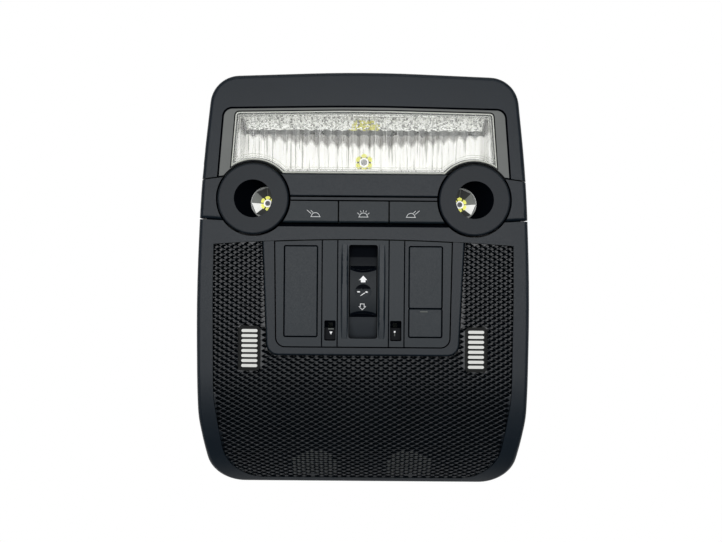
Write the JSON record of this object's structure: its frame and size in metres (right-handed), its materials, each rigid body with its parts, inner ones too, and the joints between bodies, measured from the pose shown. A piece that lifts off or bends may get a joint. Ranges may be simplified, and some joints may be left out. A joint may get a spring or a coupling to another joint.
{
  "type": "car interior light",
  "caption": "Overhead car interior light console with a fluted dome lamp, aimed reading lamps, lamp keys, a sunroof slider switch and a textured grille that rolls away at one end.",
  "frame": {"origin": "middle of the length and width, on the flat back of the housing", "axes": "+Z out of the visible face, +Y towards the dome lamp end, +X to the right when facing it with the dome lamp up"},
  "size_m": [0.2108, 0.2664, 0.0536],
  "materials": {
    "trim": "matte, fine grained",
    "grille": "matte, diamond texture",
    "panel": "matte",
    "key": "matte",
    "lock": "matte",
    "lens_frame": "satin",
    "lens": "clear, fluted",
    "reflector": "bright metal film on plastic",
    "led": "clear dome over yellow phosphor",
    "diffuser": "milky",
    "housing": "matte",
    "board": "lacquered",
    "switch_body": "matte",
    "pins": "plated",
    "steel": "zinc plated",
    "fleece": "felt",
    "microphone": "satin"
  },
  "bodies": {
    "console": {"upper_bezel": "trim", "centre_bar": "trim", "lower_frame": "trim", "reading_bezel_left": "trim", "reading_bezel_right": "trim", "grille_panel": "grille", "slot_grille_left": "grille", "slot_grille_right": "grille", "switch_surround": "panel", "switch_panel": "panel", "left_cover": "panel", "right_cover": "panel", "indicator_window": "panel", "lens_frame": "lens_frame", "dome_lens": "lens", "dome_reflector": "reflector", "reading_reflector_left": "reflector", "reading_reflector_right": "reflector", "dome_led": "led", "reading_led_left": "led", "reading_led_right": "led", "diffuser_left": "diffuser", "diffuser_right": "diffuser", "rear_housing": "housing", "slot_lamp_holder_left": "housing", "slot_lamp_holder_right": "housing", "main_board": "board", "key_switches": "switch_body", "slide_switch": "switch_body", "connector_header": "switch_body", "connector_pins": "pins", "housing_screws": "steel", "spring_clips": "steel", "microphone_fleece_left": "fleece", "microphone_fleece_right": "fleece", "microphone_left": "microphone", "microphone_right": "microphone"},
    "left_key": {"left_key": "key"},
    "dome_key": {"dome_key": "key"},
    "right_key": {"right_key": "key"},
    "slider_carriage": {"slider_carriage": "key"},
    "slider_knob": {"slider_knob": "key"},
    "lock_left": {"lock_left": "lock"},
    "lock_right": {"lock_right": "lock"}
  },
  "joints": [
    {"name": "left_key_press", "type": "slide", "parent": "console", "child": "left_key", "axis": [0, 0, -1], "range_m": [0, 0.0012], "stiffness_N_per_m": 800},
    {"name": "dome_key_press", "type": "slide", "parent": "console", "child": "dome_key", "axis": [0, 0, -1], "range_m": [0, 0.0012], "stiffness_N_per_m": 800},
    {"name": "right_key_press", "type": "slide", "parent": "console", "child": "right_key", "axis": [0, 0, -1], "range_m": [0, 0.0012], "stiffness_N_per_m": 800},
    {"name": "sunroof_slide", "type": "slide", "parent": "console", "child": "slider_carriage", "axis": [0, 1, 0], "range_m": [-0.0035, 0.0035], "stiffness_N_per_m": 1200},
    {"name": "sunroof_press", "type": "slide", "parent": "slider_carriage", "child": "slider_knob", "axis": [0, 0, -1], "range_m": [0, 0.0012], "stiffness_N_per_m": 1500},
    {"name": "left_lock_slide", "type": "slide", "parent": "console", "child": "lock_left", "axis": [0, 1, 0], "range_m": [0, 0.0044]},
    {"name": "right_lock_slide", "type": "slide", "parent": "console", "child": "lock_right", "axis": [0, 1, 0], "range_m": [0, 0.0044]}
  ]
}
